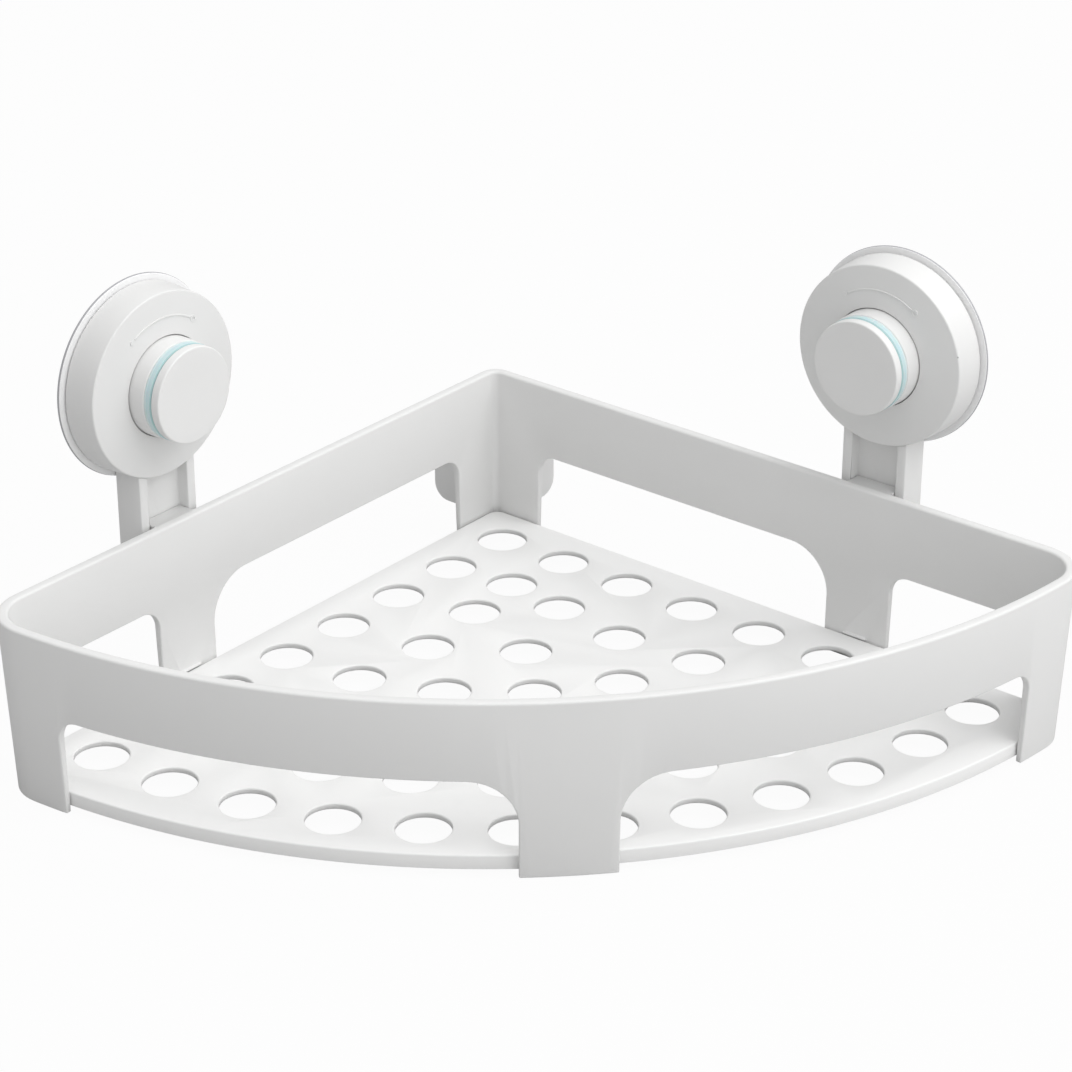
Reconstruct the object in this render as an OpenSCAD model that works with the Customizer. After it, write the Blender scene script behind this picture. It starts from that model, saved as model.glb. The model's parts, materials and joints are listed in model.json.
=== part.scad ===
// Corner shower caddy: a quarter-round hanging basket with a drain tray, carried by two
// twist-lock suction holders, one on each wall of the corner.
// Origin: under the middle of the caddy, at the height of its feet. +Z up, front towards -Y.

/* [Basket] */
// front curve radius at the rim, from the back corner
basket_r = 236; // [200:2:290]
// height from feet to rim
basket_h = 58; // [50:1:72]
// wall thickness at the rim
rim_t = 3.4; // [3:0.1:4]
// how far the outer face leans in from rim to foot
outer_lean = 2.3; // [1.6:0.1:2.4]
// how far the inner face leans in from rim to foot
inner_lean = 0.8; // [0.5:0.1:1]
// rounding of the two front end corners
end_round = 16; // [12:1:20]
// rounding of the back corner
back_round = 6; // [5:0.5:8]

/* [Windows and legs] */
// height of the solid band under the rim
band_h = 25.6; // [22:0.2:28]
// width of each side of the back corner post
post_w = 23; // [20:0.5:26]
// width of the middle legs and of the hanger arms
leg_w = 23.5; // [22:0.5:26]
// width of the front leg
front_leg_w = 29; // [24:1:36]
// width of each corner leg on the front curve
corner_leg_w = 13.4; // [10:0.2:18]
// large window corner radius
flare_r = 15; // [10:1:18]
// small window corner radius
small_r = 7; // [5:0.5:8]
// thickness of the corner fins
fin_t = 2; // [1.6:0.1:2.6]

/* [Tray] */
// height of the tray's top face
tray_z = 6.3; // [5.8:0.1:7]
// tray plate thickness
tray_t = 2; // [1.6:0.1:2.4]
// depth of the tray's edge, top to bottom
tray_edge = 4.9; // [4.4:0.1:5.2]
// drain hole radius
hole_r = 8.3; // [7:0.1:9]
// solid rim left between the last arc of drain holes and the tray's front edge
hole_margin = 5.4; // [4:0.2:8]
// rows of drain holes in front of the first one
hole_rows = 7; // [5:1:7]

/* [Holders] */
// distance of each holder from the back corner, along its wall
holder_at = 154; // [140:1:160]
// height left between the rim and a holder that has dropped off its hook
rim_gap = 2.4; // [1:0.2:8]
// gap between the basket's back and the tiles
standoff = 13.6; // [13.4:0.1:14.4]
// suction pad radius
pad_r = 32; // [31:0.5:36]
// housing radius at its back edge
housing_r = 30; // [29.5:0.1:30.4]
// housing radius at its front face
face_r = 29; // [28:0.1:29.2]
// knob collar radius at its base
collar_r = 16.1; // [15.6:0.1:17]
// knob cap radius
cap_r = 15.2; // [14.6:0.1:15.4]
// stud radius
stud_r = 3; // [2.8:0.1:3.2]
// how far the stud draws the pad in over the knob's quarter turn
pull = 2.5; // [1.5:0.1:2.6]

/* [Hanger arm] */
// rib thickness
rib_t = 3.4; // [3:0.1:3.8]
// web and tongue thickness
web_t = 2.2; // [2:0.1:2.4]
// how far a holder drops to come off its hook
hook_drop = 12; // [8:1:13]

/* [Hidden] */
eps = 0.01;
shy = 0.02;
gap = 0.3;
snug = 0.05;
run = 0.08;
diag = sqrt(2);
root = 0.43;
fin_at = 15;
fin_z = 10;
fin_below_rim = 8;
fin_round = 6;
rear_tip = (standoff - fin_at + fin_t / 2) / diag;
corner_y = (basket_r - rear_tip) / 2;
win_z = basket_h - band_h;
corner_side = basket_r - end_round - 4;
holder_z = basket_h + rim_gap + hook_drop + housing_r;
// the front curve's end, in degrees from straight ahead, and the window's end beside it
arc_end = 45 - asin(end_round / (basket_r - end_round));
corner_leg_at = arc_end - asin(corner_leg_w / basket_r);
corner_ledge_at = arc_end - asin(1.8 / basket_r);

// ---- holder stack, measured from the tiles towards the room ----
housing_w0 = 1.7;
face_w = standoff - 1;
dish_w = face_w - 0.7;
roof_w = dish_w - 2.1;
washer_w1 = dish_w + 0.8;
nut_w0 = washer_w1 + gap;
nut_floor = 2.4;
nut_w1 = nut_w0 + 4.5;
collar_w0 = dish_w + 0.35;
collar_w1 = collar_w0 + 7.45;
ring_w0 = collar_w1 + snug;
ring_w1 = collar_w1 + 2.7;
cap_w0 = ring_w1 + 0.15;
cap_w1 = ring_w1 + 3.2;
cap_t = 1.8;
shell_t = 2.2;
dish_r = collar_r + 0.9;
mark_r = (dish_r + face_r) / 2 - 1.2;
mark_half = 32;
mark_end = 35.5;
nut_r = collar_r - 2.2;
lip_r = nut_r - 1.5;
nut_pocket_r = 5.3;
// the suction pad's dome, with the stud's foot moulded into its boss
pad_top_w = roof_w - 3.2;
dome = pad_top_w / 6.6;
boss_r = 6.4;
stud_foot_r = 5;
stud_foot_w0 = 3.4 * dome;
stud_foot_t = 1.4;
// the stud's head clears the nut's floor by stud_slack when the pad is let go
stud_head_r = 4.6;
stud_head_t = 1.6;
stud_slack = 1.1;
stud_w1 = nut_w0 + nut_floor + stud_slack + pull + stud_head_t;
washer_r = 9;
// the hanger arm and its screws
web_w1 = roof_w - 2;
web_w0 = web_w1 - web_t;
arm_w0 = 1.6;
arm_w1 = standoff - 1.6;
arm_z0 = win_z + 3.6;
shelf_t = 2.4;
catch_t = 2.2;
catch_h = hook_drop;
tongue_w = leg_w - 5.5;
screw_x = tongue_w / 2 - 3;
screw_z = -20;
screw_r = 1.2;
screw_head_r = 2.3;
screw_head_t = 1.4;
screw_tip_w = roof_w + 1.4;

white = [0.93, 0.93, 0.92];
tray_white = [0.95, 0.95, 0.94];
teal = [0.62, 0.84, 0.84];
clear_grey = [0.82, 0.82, 0.83];
steel = [0.6, 0.6, 0.62];

// ---- assembly ----

// ---- placing ----
// the back corner is the centre of the front curve; u runs along the right wall, v along the left
function plan(u, v) = [(u - v) / diag, -(u + v) / diag];

module at_corner() {
  translate([0, corner_y, 0]) children();
}

// a wall's own frame: X along the wall, +Y towards the tiles, the basket's back face at y = 0
module right_wall() {
  at_corner() rotate([0, 0, -45]) children();
}

module left_wall() {
  at_corner() rotate([0, 0, 45]) children();
}

// the holder's own frame: Z out of the tiles into the room, Y up, centred on the pad
module right_holder() {
  right_wall() translate([holder_at, standoff, holder_z]) rotate([90, 0, 0]) children();
}

module left_holder() {
  left_wall() translate([-holder_at, standoff, holder_z]) rotate([90, 0, 0]) children();
}

// ---- outline of the quarter-round basket ----
function arc_pts(c, r, a0, a1, n) = [for (i = [0:n]) let (a = a0 + (a1 - a0) * i / n)
  plan(c[0] + r * cos(a), c[1] + r * sin(a))];

// r: front radius, e: distance of the straight sides from the walls, rc and rb: corner radii
function outline(r, e, rc, rb) =
  let (v = e + rc, u = sqrt(pow(r - rc, 2) - pow(v, 2)), t = atan2(v, u))
  concat(arc_pts([u, v], rc, -90, t, 14),
    arc_pts([0, 0], r, t, 90 - t, 44),
    arc_pts([v, u], rc, 90 - t, 180, 14),
    arc_pts([e + rb, e + rb], rb, 180, 270, 10));

// a body whose sides lean in evenly from the rim down, running past feet and rim by over
module leaning(inset, lean) {
  over = 2;
  low = inset + lean * (basket_h + over) / basket_h;
  high = inset - lean * over / basket_h;
  hull() {
    translate([0, 0, -over]) linear_extrude(eps)
      polygon(outline(basket_r - low, low, end_round - low, back_round - low));
    translate([0, 0, basket_h + over - eps]) linear_extrude(eps)
      polygon(outline(basket_r - high, high, end_round - high, back_round - high));
  }
}

module wall_band() {
  at_corner() difference() {
    intersection() {
      leaning(0, outer_lean);
      translate([-basket_r, -basket_r - 5, 0]) cube([2 * basket_r, basket_r + 10, basket_h]);
    }
    leaning(rim_t, inner_lean);
  }
}

// ---- window cutters ----
// removes the square outside a rounded upper corner; dir: 1 corner on the +X side, -1 on the -X side
module spandrel(r, depth, dir) {
  difference() {
    translate([dir > 0 ? -r : -1, -depth / 2, -r]) cube([r + 1, depth, r + 1]);
    translate([-dir * r, depth, -r]) rotate([90, 0, 0]) cylinder(r = r + shy, h = 2 * depth, $fn = 64);
  }
}

// a window in a straight wall, from x0 to x1, open at the bottom
module wall_window(x0, x1, r0, r1, depth) {
  difference() {
    translate([x0, -depth / 2, -5]) cube([x1 - x0, depth, win_z + 5]);
    translate([x0, 0, win_z]) spandrel(r0, depth + 2, -1);
    translate([x1, 0, win_z]) spandrel(r1, depth + 2, 1);
  }
}

// a window in the curved front, between two angles from straight ahead
module front_window(a0, a1, r0, r1) {
  difference() {
    translate([0, 0, -5]) rotate([0, 0, -90 + a0])
      rotate_extrude(angle = a1 - a0, $fn = 180)
        translate([basket_r - 12, 0]) square([20, win_z + 5]);
    rotate([0, 0, a0]) translate([0, -basket_r, win_z]) spandrel(r0, 40, -1);
    rotate([0, 0, a1]) translate([0, -basket_r, win_z]) spandrel(r1, 40, 1);
  }
}

front_half = asin(front_leg_w / 2 / basket_r);

module windows() {
  right_wall() {
    wall_window(post_w, holder_at - leg_w / 2, small_r, flare_r, 24);
    wall_window(holder_at + leg_w / 2, corner_side, small_r, small_r, 24);
  }
  left_wall() {
    wall_window(-holder_at + leg_w / 2, -post_w, flare_r, small_r, 24);
    wall_window(-corner_side, -holder_at - leg_w / 2, small_r, small_r, 24);
  }
  at_corner() {
    front_window(front_half, corner_leg_at, flare_r, small_r);
    front_window(-corner_leg_at, -front_half, small_r, flare_r);
  }
}

// ---- pieces that hang on a straight wall ----
boss_half = leg_w / 2 - rib_t - gap;
boss_z0 = arm_z0 + shelf_t + gap;

// the block that fills the arm's channel, with a pocket for its catch
module hanging_boss() {
  foot = outer_lean * (1 - boss_z0 / basket_h) + root;
  y0 = standoff - web_w1 - gap;
  pocket_y0 = standoff - arm_w1 - gap;
  difference() {
    translate([-boss_half, -foot, boss_z0]) cube([2 * boss_half, y0 + foot, basket_h - boss_z0]);
    translate([-boss_half - 1, pocket_y0, boss_z0 - 1])
      cube([2 * boss_half + 2, catch_t + 2 * gap, catch_h + gap + 1]);
  }
}

// the fin that keeps the back corner off the tiles
module corner_fin() {
  difference() {
    translate([-fin_t / 2, -outer_lean, fin_z])
      cube([fin_t, standoff + outer_lean, basket_h - fin_below_rim - fin_z]);
    translate([0, standoff - fin_round, fin_z + fin_round]) fin_corner(-1);
    translate([0, standoff - fin_round, basket_h - fin_below_rim - fin_round]) fin_corner(1);
  }
}

module fin_corner(up) {
  difference() {
    translate([-fin_t, 0, up > 0 ? 0 : -fin_round - 1]) cube([2 * fin_t, fin_round + 1, fin_round + 1]);
    translate([-2 * fin_t, 0, 0]) rotate([0, 90, 0]) cylinder(r = fin_round + shy, h = 4 * fin_t, $fn = 48);
  }
}

// a ledge under the tray and a small bead above it, both on a leg's inner face
ledge_top = tray_z - tray_edge - snug;
inner_low = rim_t + inner_lean;

module ledge(w) {
  translate([-w / 2, -inner_low - 3, 0]) cube([w, 4, ledge_top]);
  translate([-w / 4, -inner_low - 0.7, tray_z + snug]) cube([w / 2, 1.4, 0.9]);
}

// ---- basket ----
module basket_wall() {
  color(white) {
    difference() {
      wall_band();
      windows();
    }
    right_wall() {
      translate([holder_at, 0, 0]) hanging_boss();
      translate([fin_at, 0, 0]) corner_fin();
      translate([holder_at, 0, 0]) ledge(leg_w - 6);
    }
    left_wall() {
      translate([-holder_at, 0, 0]) hanging_boss();
      translate([-fin_at, 0, 0]) corner_fin();
      translate([-holder_at, 0, 0]) ledge(leg_w - 6);
    }
    at_corner() {
      translate([0, -basket_r, 0]) rotate([0, 0, 180]) ledge(front_leg_w - 8);
      for (s = [-1, 1])
        rotate([0, 0, s * corner_ledge_at]) translate([0, -basket_r, 0]) rotate([0, 0, 180]) ledge(8);
    }
  }
}

// ---- tray ----
tray_in = inner_low + gap + 0.1;
skirt_t = 1.8;
first_hole = 21.3;
hole_pitch = (basket_r - tray_in - hole_margin - hole_r - diag * first_hole) / hole_rows;

module tray_blank(inset, z0, z1) {
  translate([0, 0, z0]) linear_extrude(z1 - z0)
    polygon(outline(basket_r - inset, inset, end_round - rim_t - 1.2, back_round - 2));
}

function holes_in(k) = k == 0 ? 1 : k == 1 ? 3 : floor(k * 90 * PI / 180 + 1.01);
function bulge(k, i) = k == 1 && i == 1 ? 1.26 : 1;

module drain_holes() {
  for (k = [0:hole_rows])
    for (i = [0:holes_in(k) - 1]) {
      a = k == 0 ? 0 : -45 + 90 * i / (holes_in(k) - 1);
      d = k * hole_pitch * bulge(k, i);
      translate([d * sin(a), -diag * first_hole - d * cos(a), 0])
        cylinder(r = hole_r, h = tray_z + 2, $fn = 40);
    }
}

module drain_tray() {
  color(tray_white) at_corner() difference() {
    tray_blank(tray_in, tray_z - tray_edge, tray_z);
    tray_blank(tray_in + skirt_t, tray_z - tray_edge - 1, tray_z - tray_t);
    drain_holes();
  }
}

// ---- suction holder, about its own axis ----
module suction_pad() {
  color(clear_grey) difference() {
    rotate_extrude($fn = 120) polygon([
      [0, 3 * dome], [12, 2.2 * dome], [pad_r - 6, 0.3], [pad_r - 4.5, 0], [pad_r - 0.3, 0],
      [pad_r, 0.3], [pad_r, 0.9], [pad_r - 0.5, 1.2], [pad_r - 4, 1.35], [pad_r - 8, 1.9 * dome],
      [14, 4 * dome], [boss_r, 4.6 * dome], [boss_r, pad_top_w], [0, pad_top_w]]);
    translate([0, 0, stud_foot_w0 - snug])
      cylinder(r = stud_foot_r + snug, h = stud_foot_t + 2 * snug, $fn = 60);
    cylinder(r = 0.6, h = 0.1, $fn = 16);
    translate([0, 0, stud_foot_w0]) cylinder(r = stud_r + snug, h = 10, $fn = 48);
  }
}

module pad_stud() {
  color(white) {
    translate([0, 0, stud_foot_w0]) cylinder(r = stud_foot_r, h = stud_foot_t, $fn = 60);
    translate([0, 0, stud_foot_w0 + stud_foot_t - eps])
      cylinder(r = stud_r, h = stud_w1 - stud_foot_w0 - stud_foot_t, $fn = 48);
    translate([0, 0, stud_w1 - stud_head_t]) cylinder(r = stud_head_r, h = stud_head_t, $fn = 48);
  }
}

module pressure_housing() {
  cavity_back = housing_r - shell_t;
  cavity_front = face_r - shell_t;
  bore = stud_r + run;
  color(white) {
    difference() {
      rotate_extrude($fn = 120) polygon([
        [bore, roof_w], [cavity_front, roof_w], [cavity_back, housing_w0 + 0.3],
        [cavity_back + 0.3, housing_w0], [housing_r - 0.3, housing_w0],
        [housing_r, housing_w0 + 0.3], [face_r + 0.1, face_w - 1.0],
        [face_r - 0.25, face_w - 0.3], [face_r - 1, face_w], [dish_r, dish_w], [bore, dish_w]]);
      // slot in the skirt for the arm's tongue
      translate([-tongue_w / 2 - gap, -housing_r - 2, web_w0 - gap])
        cube([tongue_w + 2 * gap, 8, web_t + 2 * gap]);
      for (s = [-1, 1]) translate([s * screw_x, screw_z, web_w1])
        cylinder(r = screw_r + snug, h = screw_tip_w - web_w1 + 0.3, $fn = 32);
    }
    for (s = [-1, 1]) translate([s * screw_x, screw_z, web_w1 + snug]) difference() {
      cylinder(r = 2.6, h = roof_w - web_w1, $fn = 32);
      translate([0, 0, -1]) cylinder(r = screw_r + snug, h = 4, $fn = 32);
    }
    // raised turning mark: an arc with a dot at one end and a ring at the other
    rotate([0, 0, 90 - mark_half]) rotate_extrude(angle = 2 * mark_half, $fn = 120)
      translate([mark_r - 0.25, dish_w]) square([0.5, 0.55]);
    rotate([0, 0, mark_end]) translate([0, mark_r, dish_w])
      cylinder(r = 0.8, h = 0.55, $fn = 24);
    rotate([0, 0, -mark_end]) translate([0, mark_r, dish_w]) difference() {
      cylinder(r = 1.1, h = 0.55, $fn = 24);
      translate([0, 0, 0.3]) cylinder(r = 0.6, h = 1, $fn = 24);
    }
  }
}

module thrust_washer() {
  color(steel) translate([0, 0, dish_w + snug]) difference() {
    cylinder(r = washer_r, h = washer_w1 - dish_w - snug, $fn = 60);
    translate([0, 0, -1]) cylinder(r = stud_r + 0.4, h = 4, $fn = 48);
  }
}

module drive_nut() {
  floor_w = nut_w0 + nut_floor;
  color(white) rotate_extrude($fn = 90) polygon([
    [stud_r + run, nut_w0], [nut_r, nut_w0], [nut_r, nut_w1], [nut_r - 2.3, nut_w1],
    [nut_r - 2.3, floor_w], [nut_pocket_r + 2, floor_w], [nut_pocket_r + 2, nut_w1 + 0.8],
    [nut_pocket_r, nut_w1 + 0.8], [nut_pocket_r, floor_w], [stud_r + run, floor_w]]);
}

module knob_collar() {
  top_r = cap_r + 0.35;
  color(white) rotate_extrude($fn = 120) polygon([
    [nut_r + snug, collar_w0], [collar_r - 0.3, collar_w0], [collar_r, collar_w0 + 0.3],
    [top_r, collar_w1 - 0.3], [top_r - 0.3, collar_w1], [lip_r, collar_w1],
    [lip_r, nut_w1 + snug], [nut_r + snug, nut_w1 + snug]]);
}

module indicator_ring() {
  color(teal) rotate_extrude($fn = 120) polygon([
    [lip_r, ring_w0], [cap_r - 0.1, ring_w0], [cap_r + 0.15, ring_w0 + 0.25],
    [cap_r + 0.1, ring_w1 - 0.3], [cap_r - 0.2, ring_w1], [lip_r, ring_w1]]);
}

module knob_cap() {
  skirt_r = lip_r - snug;
  color(white) rotate_extrude($fn = 120) polygon([
    [0, cap_w1 - cap_t], [skirt_r - 1.2, cap_w1 - cap_t], [skirt_r - 1.2, nut_w1 + 0.2],
    [skirt_r, nut_w1 + 0.2], [skirt_r, cap_w0], [cap_r - 0.2, cap_w0], [cap_r, cap_w0 + 0.3],
    [cap_r - 0.05, cap_w1 - 0.9], [cap_r - 0.35, cap_w1 - 0.25], [cap_r - 1, cap_w1], [0, cap_w1]]);
}

module arm_screws() {
  color(steel) for (s = [-1, 1]) translate([s * screw_x, screw_z, 0]) {
    translate([0, 0, web_w0 - snug - screw_head_t]) cylinder(r = screw_head_r, h = screw_head_t, $fn = 32);
    translate([0, 0, web_w0 - snug - eps]) cylinder(r = screw_r, h = screw_tip_w - web_w0, $fn = 32);
  }
}

// the H-shaped arm: tongue into the housing, web and two ribs, and a hook at the bottom
module hanger_arm() {
  half = leg_w / 2;
  low = arm_z0 - holder_z;
  color(white) difference() {
    union() {
      translate([-half, low, web_w0]) cube([leg_w, -face_r - low + 8, web_t]);
      for (s = [-1, 1])
        translate([s > 0 ? half - rib_t : -half, low, arm_w0])
          cube([rib_t, -face_r - low + 8, arm_w1 - arm_w0]);
      translate([-half, low, web_w0]) cube([leg_w, shelf_t, arm_w1 - web_w0]);
      translate([-half + eps, low, arm_w1 - catch_t])
        cube([leg_w - 2 * eps, shelf_t + catch_h, catch_t]);
    }
    // just clear of the housing's own cone
    cylinder(r1 = housing_r + 0.28, r2 = face_r + 0.2, h = face_w, $fn = 120);
  }
  color(white) difference() {
    translate([-tongue_w / 2, -housing_r - 0.6, web_w0])
      cube([tongue_w, housing_r + 0.6 + screw_z + 4, web_t]);
    for (s = [-1, 1]) translate([s * screw_x, screw_z, 0])
      cylinder(r = screw_r + 0.15, h = 20, $fn = 32);
  }
}

module left_suction_pad() { left_holder() suction_pad(); }
module left_pad_stud() { left_holder() pad_stud(); }
module left_pressure_housing() { left_holder() pressure_housing(); }
module left_hanger_arm() { left_holder() hanger_arm(); }
module left_arm_screws() { left_holder() arm_screws(); }
module left_thrust_washer() { left_holder() thrust_washer(); }
module left_drive_nut() { left_holder() drive_nut(); }
module left_knob_collar() { left_holder() knob_collar(); }
module left_indicator_ring() { left_holder() indicator_ring(); }
module left_knob_cap() { left_holder() knob_cap(); }
module right_suction_pad() { right_holder() suction_pad(); }
module right_pad_stud() { right_holder() pad_stud(); }
module right_pressure_housing() { right_holder() pressure_housing(); }
module right_hanger_arm() { right_holder() hanger_arm(); }
module right_arm_screws() { right_holder() arm_screws(); }
module right_thrust_washer() { right_holder() thrust_washer(); }
module right_drive_nut() { right_holder() drive_nut(); }
module right_knob_collar() { right_holder() knob_collar(); }
module right_indicator_ring() { right_holder() indicator_ring(); }
module right_knob_cap() { right_holder() knob_cap(); }

basket_wall();
drain_tray();
left_suction_pad();
left_pad_stud();
left_pressure_housing();
left_hanger_arm();
left_arm_screws();
left_thrust_washer();
left_drive_nut();
left_knob_collar();
left_indicator_ring();
left_knob_cap();
right_suction_pad();
right_pad_stud();
right_pressure_housing();
right_hanger_arm();
right_arm_screws();
right_thrust_washer();
right_drive_nut();
right_knob_collar();
right_indicator_ring();
right_knob_cap();
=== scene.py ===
"""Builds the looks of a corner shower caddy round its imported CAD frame.

The basket and its drain tray hang on two twist-lock suction holders, one on
each wall. Pieces are modelled on a bench in millimetres, about their own
axes, and are then placed in the CAD model's frame, in metres.
"""

import json
import logging
import math
from contextlib import contextmanager
from dataclasses import dataclass
from enum import Enum
from typing import Callable, Iterator, Sequence

import bmesh
import bpy
from mathutils import Matrix, Vector


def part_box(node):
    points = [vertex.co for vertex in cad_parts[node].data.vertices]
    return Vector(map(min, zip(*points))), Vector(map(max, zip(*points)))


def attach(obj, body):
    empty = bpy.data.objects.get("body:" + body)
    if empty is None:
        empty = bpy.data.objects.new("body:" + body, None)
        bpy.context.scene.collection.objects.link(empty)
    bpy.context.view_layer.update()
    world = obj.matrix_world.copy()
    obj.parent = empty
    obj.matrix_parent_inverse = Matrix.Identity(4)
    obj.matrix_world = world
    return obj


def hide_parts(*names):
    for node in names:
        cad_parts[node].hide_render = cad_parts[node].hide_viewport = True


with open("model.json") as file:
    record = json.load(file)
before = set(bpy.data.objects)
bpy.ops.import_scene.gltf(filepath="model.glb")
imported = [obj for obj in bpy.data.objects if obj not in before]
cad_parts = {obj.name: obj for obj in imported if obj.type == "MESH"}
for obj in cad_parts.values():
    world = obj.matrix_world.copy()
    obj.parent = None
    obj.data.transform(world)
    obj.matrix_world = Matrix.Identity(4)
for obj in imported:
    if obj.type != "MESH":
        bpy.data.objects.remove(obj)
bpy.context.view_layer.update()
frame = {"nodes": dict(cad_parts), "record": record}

log = logging.getLogger("caddy")
Piece = bpy.types.Object

MM = 0.001
# On the bench: points this close are one point, and levels this close are one level
MERGE = 0.004
NEAR = 0.01
# Cosine over which a face looks along an axis, and the angle over which an edge is sharp
FACING = 0.9
SHARP = math.radians(50)
# A Mix node's colour sockets, which share their names with its other kinds
MIX_A, MIX_B, MIX_RESULT = 6, 7, 2
PLASTIC_IOR = 1.48
INNER_REACH = 0.003


class Side(Enum):
    """The wall a holder hangs on, as seen from the front."""

    LEFT = "left"
    RIGHT = "right"


class Plane(Enum):
    """The bench plane that an outline is drawn in, as its two axes."""

    FLAT = ((1, 0, 0), (0, 1, 0))
    UPRIGHT = ((1, 0, 0), (0, 0, 1))


# ---- The bench: modelling moves that every piece shares ----


class Pen:
    """Draws an outline in edit mode, one straight or round stretch at a time."""

    def __init__(self, name: str, x: float, y: float, plane: Plane, level: float = 0.0) -> None:
        """Puts the first point down.

        Args:
            name: The new piece's name.
            x: First coordinate of the start.
            y: Second coordinate of the start.
            plane: The plane to draw in.
            level: Height of that plane along its own normal.
        """
        self.across, self.up = (Vector(axis) for axis in plane.value)
        self.normal = self.across.cross(self.up)
        self.level = level
        self.x, self.y = x, y
        bpy.ops.object.select_all(action="DESELECT")
        bpy.ops.mesh.primitive_plane_add(size=1.0, location=self.at(x, y))
        self.piece = bpy.context.object
        self.piece.name = name
        self.piece.data.name = name
        bpy.ops.object.transform_apply(location=True, rotation=True, scale=True)
        bpy.ops.object.mode_set(mode="EDIT")
        bpy.ops.mesh.select_mode(type="VERT")
        bpy.ops.mesh.select_all(action="SELECT")
        bpy.ops.mesh.merge(type="CENTER")

    def at(self, x: float, y: float) -> Vector:
        """Returns the bench point of a point of the drawing."""
        return self.across * x + self.up * y + self.normal * self.level

    def line(self, x: float, y: float) -> None:
        """Draws a straight stretch to a point."""
        move = self.across * (x - self.x) + self.up * (y - self.y)
        if move.length > MERGE:
            bpy.ops.mesh.extrude_region_move(TRANSFORM_OT_translate={"value": move})
            self.x, self.y = x, y

    def arc(self, cx: float, cy: float, degrees: float, steps: int) -> None:
        """Draws a round stretch.

        Args:
            cx: First coordinate of the centre.
            cy: Second coordinate of the centre.
            degrees: How far to turn, anticlockwise if positive.
            steps: Number of edges.
        """
        angle = math.radians(degrees)
        bpy.ops.mesh.spin(steps=steps, angle=-angle, center=self.at(cx, cy), axis=self.normal)
        dx, dy = self.x - cx, self.y - cy
        self.x = cx + dx * math.cos(angle) - dy * math.sin(angle)
        self.y = cy + dx * math.sin(angle) + dy * math.cos(angle)

    def leave(self, filled: bool = False) -> Piece:
        """Stops drawing, with or without a face in the outline, and returns the piece."""
        bpy.ops.mesh.select_all(action="SELECT")
        bpy.ops.mesh.remove_doubles(threshold=MERGE)
        if filled:
            bpy.ops.mesh.select_all(action="SELECT")
            bpy.ops.mesh.edge_face_add()
        bpy.ops.object.mode_set(mode="OBJECT")
        return self.piece


def draw(
    name: str, corners: Sequence[tuple], plane: Plane, level: float = 0.0, closed: bool = True
) -> Pen:
    """Draws straight sides joined by rounded corners.

    Args:
        name: The new piece's name.
        corners: (x, y) or (x, y, radius) for each corner.
        plane: The plane to draw in.
        level: Height of that plane along its own normal.
        closed: Whether the last corner joins the first.

    Returns:
        The pen, still in edit mode.
    """
    spots = [Vector(c[:2]) for c in corners]
    radii = [c[2] if len(c) > 2 else 0.0 for c in corners]
    count = len(spots)
    pen = None
    for i in range(count + 1 if closed else count):
        here, radius = spots[i % count], radii[i % count]
        if radius == 0.0:
            if pen is None:
                pen = Pen(name, here.x, here.y, plane, level)
            else:
                pen.line(here.x, here.y)
            continue
        back = (spots[(i - 1) % count] - here).normalized()
        on = (spots[(i + 1) % count] - here).normalized()
        half = back.angle(on) / 2
        reach = radius / math.tan(half)
        if pen is None:
            start = here + on * reach
            pen = Pen(name, start.x, start.y, plane, level)
            continue
        entry = here + back * reach
        pen.line(entry.x, entry.y)
        centre = here + (back + on).normalized() * radius / math.sin(half)
        turn = 180.0 - math.degrees(2 * half)
        sign = 1 if back.x * on.y - back.y * on.x < 0 else -1
        pen.arc(centre.x, centre.y, sign * turn, max(2, round(turn / 15)))
    return pen


def choose(kind: str, test: Callable) -> None:
    """Selects faces or edges of the mesh in edit mode by their place.

    Args:
        kind: "faces" or "edges".
        test: Says whether an element is wanted.
    """
    bpy.ops.mesh.select_mode(type=kind[:-1].upper())
    bpy.ops.mesh.select_all(action="DESELECT")
    mesh = bmesh.from_edit_mesh(bpy.context.object.data)
    for element in filter(test, getattr(mesh, kind)):
        element.select_set(True)
    mesh.select_flush_mode()
    bmesh.update_edit_mesh(bpy.context.object.data)


def only(piece: Piece) -> None:
    """Leaves one piece selected and active."""
    bpy.ops.object.select_all(action="DESELECT")
    piece.select_set(True)
    bpy.context.view_layer.objects.active = piece


@contextmanager
def editing(piece: Piece) -> Iterator[None]:
    """Opens a piece in edit mode with all of it selected, and closes it at the end."""
    only(piece)
    bpy.ops.object.mode_set(mode="EDIT")
    bpy.ops.mesh.select_mode(type="VERT")
    bpy.ops.mesh.select_all(action="SELECT")
    yield
    bpy.ops.object.mode_set(mode="OBJECT")


def tidy_normals(piece: Piece) -> None:
    """Merges doubles and turns every face outwards."""
    with editing(piece):
        bpy.ops.mesh.remove_doubles(threshold=MERGE)
        bpy.ops.mesh.normals_make_consistent(inside=False)


def pull(*move: float) -> None:
    """Extrudes what is selected in edit mode by a move along X, Y and Z."""
    bpy.ops.mesh.extrude_region_move(TRANSFORM_OT_translate={"value": move})


def raise_face(pen: Pen, depth: Vector) -> Piece:
    """Closes a pen's outline and pulls it out to a solid.

    Args:
        pen: The pen, in edit mode.
        depth: How far and which way to pull.

    Returns:
        The solid.
    """
    piece = pen.leave(filled=True)
    with editing(piece):
        pull(*depth)
    tidy_normals(piece)
    return piece


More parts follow.
